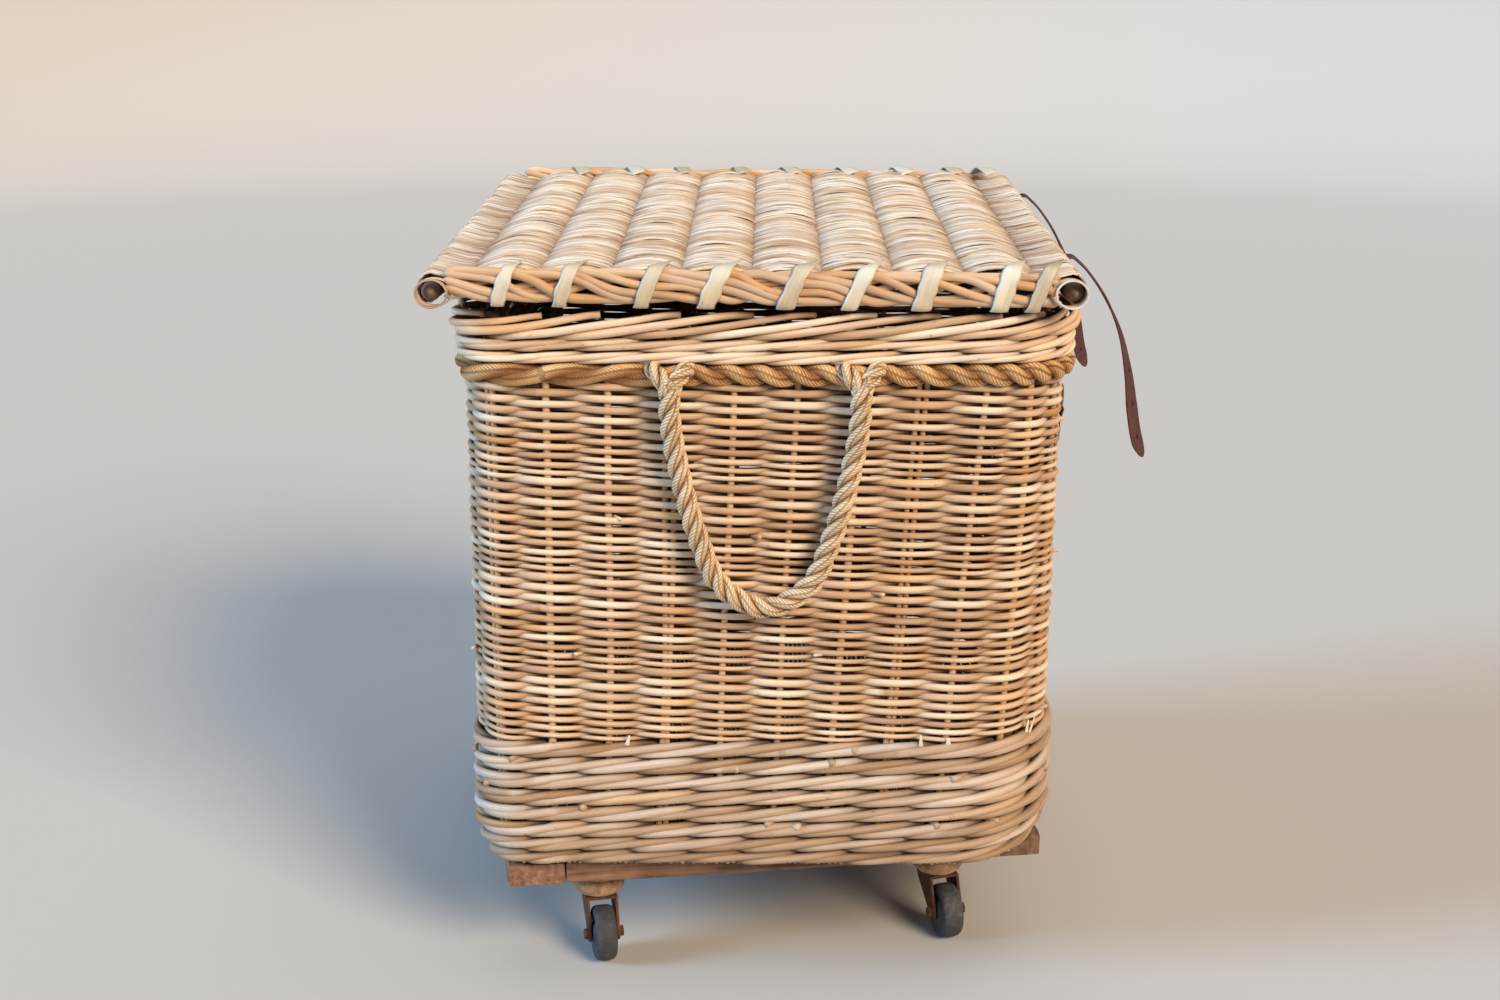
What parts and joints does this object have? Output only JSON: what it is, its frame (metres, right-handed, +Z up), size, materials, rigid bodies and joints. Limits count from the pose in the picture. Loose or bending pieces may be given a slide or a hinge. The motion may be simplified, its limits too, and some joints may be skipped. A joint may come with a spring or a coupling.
{
  "type": "wicker storage trunk",
  "caption": "Large lidded willow trunk with rope end handles and leather straps, standing on a wooden caster dolly.",
  "frame": {"origin": "on the floor, under the centre of the basket's plan", "axes": "+Z up; +X towards the front, the side that opens and carries the closing straps; +Y towards the right end, so the left end with its rope handle faces -Y"},
  "size_m": [0.7255, 0.738, 0.744],
  "materials": {
    "willow": "dry tan willow rods",
    "pale_willow": "weathered pale buff willow",
    "sisal": "twisted golden sisal",
    "manila": "three-strand manila rope",
    "leather": "dark maroon-brown leather, semi-matte",
    "board": "worn dark stained board",
    "bark_stick": "brown willow stick",
    "steel": "rusty brown steel",
    "rubber": "matte dark grey rubber",
    "brass": "aged brass"
  },
  "bodies": {
    "basket": {"basket_base": "willow", "foot_wale": "pale_willow", "side_weave": "willow", "rope_band": "sisal", "upper_wale": "willow", "top_border": "pale_willow", "corner_post_front_left": "bark_stick", "corner_post_front_right": "bark_stick", "corner_post_rear_left": "bark_stick", "corner_post_rear_right": "bark_stick", "hinge_strap_left_body": "leather", "buckle_chape_left": "leather", "buckle_frame_left": "brass", "buckle_prong_left": "brass", "hinge_strap_right_body": "leather", "buckle_chape_right": "leather", "buckle_frame_right": "brass", "buckle_prong_right": "brass", "dolly_runner_front": "board", "dolly_runner_rear": "board", "dolly_cross_board_left": "board", "dolly_cross_board_right": "board", "dolly_cross_board_middle": "board", "caster_front_left_plate": "steel", "caster_front_left_race": "steel", "caster_rear_left_plate": "steel", "caster_rear_left_race": "steel", "caster_front_right_plate": "steel", "caster_front_right_race": "steel", "caster_rear_right_plate": "steel", "caster_rear_right_race": "steel"},
    "lid": {"hinge_strap_left_lid": "leather", "lid_end_bar_left": "pale_willow", "hinge_strap_right_lid": "leather", "lid_end_bar_right": "pale_willow", "lid_weave": "willow", "lid_stick_front": "bark_stick", "lid_stick_rear": "bark_stick", "lid_front_edge_wrap": "pale_willow"},
    "closing_strap_left": {"closing_strap_left": "leather"},
    "rope_handle_left": {"rope_handle_left": "manila"},
    "closing_strap_right": {"closing_strap_right": "leather"},
    "rope_handle_right": {"rope_handle_right": "manila"},
    "caster_front_left_swivel": {"caster_front_left_fork": "steel", "caster_front_left_axle": "steel"},
    "caster_front_left_wheel": {"caster_front_left_wheel": "rubber"},
    "caster_rear_left_swivel": {"caster_rear_left_fork": "steel", "caster_rear_left_axle": "steel"},
    "caster_rear_left_wheel": {"caster_rear_left_wheel": "rubber"},
    "caster_front_right_swivel": {"caster_front_right_fork": "steel", "caster_front_right_axle": "steel"},
    "caster_front_right_wheel": {"caster_front_right_wheel": "rubber"},
    "caster_rear_right_swivel": {"caster_rear_right_fork": "steel", "caster_rear_right_axle": "steel"},
    "caster_rear_right_wheel": {"caster_rear_right_wheel": "rubber"}
  },
  "joints": [
    {"name": "lid_hinge", "type": "hinge", "parent": "basket", "child": "lid", "pos_m": [-0.312, 0, 0.702], "axis": [0, -1, 0], "range_deg": [0, 105]},
    {"name": "closing_strap_left_swing", "type": "hinge", "parent": "lid", "child": "closing_strap_left", "pos_m": [0.3051, -0.21, 0.7298], "axis": [0, -1, 0], "range_deg": [-18, 100]},
    {"name": "rope_handle_left_swing", "type": "hinge", "parent": "basket", "child": "rope_handle_left", "pos_m": [0, -0.3585, 0.6415], "axis": [-1, 0, 0], "range_deg": [0, 150]},
    {"name": "closing_strap_right_swing", "type": "hinge", "parent": "lid", "child": "closing_strap_right", "pos_m": [0.3051, 0.21, 0.7298], "axis": [0, -1, 0], "range_deg": [-18, 100]},
    {"name": "rope_handle_right_swing", "type": "hinge", "parent": "basket", "child": "rope_handle_right", "pos_m": [0, 0.3585, 0.6415], "axis": [1, 0, 0], "range_deg": [0, 150]},
    {"name": "caster_front_left_turn", "type": "hinge", "parent": "basket", "child": "caster_front_left_swivel", "pos_m": [0.18536, -0.19742, 0.07], "axis": [0, 0, 1], "continuous": true},
    {"name": "caster_front_left_roll", "type": "hinge", "parent": "caster_front_left_swivel", "child": "caster_front_left_wheel", "pos_m": [0.19354, -0.2242, 0.02886], "axis": [0.9563, 0.2924, 0], "continuous": true},
    {"name": "caster_rear_left_turn", "type": "hinge", "parent": "basket", "child": "caster_rear_left_swivel", "pos_m": [-0.17455, -0.25185, 0.07], "axis": [0, 0, 1], "continuous": true},
    {"name": "caster_rear_left_roll", "type": "hinge", "parent": "caster_rear_left_swivel", "child": "caster_rear_left_wheel", "pos_m": [-0.16825, -0.27914, 0.02886], "axis": [0.9744, 0.225, 0], "continuous": true},
    {"name": "caster_front_right_turn", "type": "hinge", "parent": "basket", "child": "caster_front_right_swivel", "pos_m": [0.12255, 0.21785, 0.07], "axis": [0, 0, 1], "continuous": true},
    {"name": "caster_front_right_roll", "type": "hinge", "parent": "caster_front_right_swivel", "child": "caster_front_right_wheel", "pos_m": [0.11116, 0.19228, 0.02886], "axis": [0.9135, -0.4067, 0], "continuous": true},
    {"name": "caster_rear_right_turn", "type": "hinge", "parent": "basket", "child": "caster_rear_right_swivel", "pos_m": [-0.23736, 0.16342, 0.07], "axis": [0, 0, 1], "continuous": true},
    {"name": "caster_rear_right_roll", "type": "hinge", "parent": "caster_rear_right_swivel", "child": "caster_rear_right_wheel", "pos_m": [-0.22012, 0.14136, 0.02886], "axis": [0.788, 0.6157, 0], "continuous": true}
  ]
}
